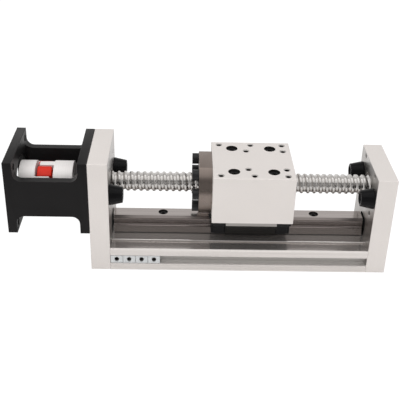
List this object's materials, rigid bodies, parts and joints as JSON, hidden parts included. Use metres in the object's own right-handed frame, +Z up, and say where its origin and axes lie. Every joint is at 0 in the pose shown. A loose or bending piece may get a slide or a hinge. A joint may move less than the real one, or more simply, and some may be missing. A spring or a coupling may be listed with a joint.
{
  "type": "ball screw linear module",
  "caption": "Linear motion module whose carriage block rides a profile rail, driven by a ball screw between end plates, with an open motor bracket and a jaw coupling at the drive end.",
  "frame": {"origin": "centre of the base profile's underside, midway between the inner faces of the end plates", "axes": "+X along the screw, away from the motor end; +Y across the base, towards the back; +Z up, through the carriage's top face"},
  "size_m": [0.2914, 0.06, 0.093],
  "materials": {
    "clear_aluminium": "satin clear anodised",
    "turned_aluminium": "turned",
    "black_aluminium": "satin black anodised",
    "ground_steel": "ground",
    "bearing_steel": "polished",
    "dark_steel": "dark oxide",
    "black_steel": "black oxide",
    "zinc_steel": "zinc plated",
    "black_plastic": "moulded",
    "black_rubber": "matt",
    "red_elastomer": "satin"
  },
  "bodies": {
    "base": {"base_profile": "clear_aluminium", "linear_rail": "ground_steel", "rail_screws": "black_steel", "t_nuts": "zinc_steel", "drive_end_plate": "clear_aluminium", "idle_end_plate": "clear_aluminium", "end_plate_screws": "black_steel", "motor_bracket": "black_aluminium", "bracket_screws": "black_steel", "drive_bearing_outer_ring": "bearing_steel", "bearing_retainer": "clear_aluminium", "retainer_screws": "black_steel", "idle_bearing_outer_ring": "bearing_steel", "plate_circlip": "black_steel", "rubber_stops": "black_rubber", "stop_studs": "zinc_steel"},
    "carriage": {"carriage_block": "clear_aluminium", "carriage_screws": "black_steel", "guide_block": "dark_steel", "block_end_caps": "black_plastic", "block_end_seals": "black_rubber", "block_cap_screws": "black_steel", "block_balls": "bearing_steel", "ball_nut": "ground_steel", "nut_screws": "black_steel", "nut_wipers": "black_plastic", "nut_balls": "bearing_steel"},
    "screw": {"ball_screw": "ground_steel", "drive_bearing_inner_ring": "bearing_steel", "drive_bearing_balls": "bearing_steel", "drive_bearing_cage": "black_plastic", "idle_bearing_inner_ring": "bearing_steel", "idle_bearing_balls": "bearing_steel", "idle_bearing_cage": "black_plastic", "lock_nut": "black_steel", "shaft_circlip": "black_steel", "coupling_screw_hub": "turned_aluminium", "coupling_spider": "red_elastomer", "coupling_motor_hub": "turned_aluminium", "coupling_clamp_screws": "black_steel"}
  },
  "joints": [
    {"name": "carriage_slide", "type": "slide", "parent": "base", "child": "carriage", "axis": [1, 0, 0], "range_m": [-0.0508, 0.0492]},
    {"name": "screw_spin", "type": "hinge", "parent": "base", "child": "screw", "pos_m": [0, 0, 0.063], "axis": [1, 0, 0], "range_deg": [-3550, 3665]}
  ],
  "couplings": [
    {"joint": "screw_spin", "follows": "carriage_slide", "rad_per_m": -1256.6}
  ]
}
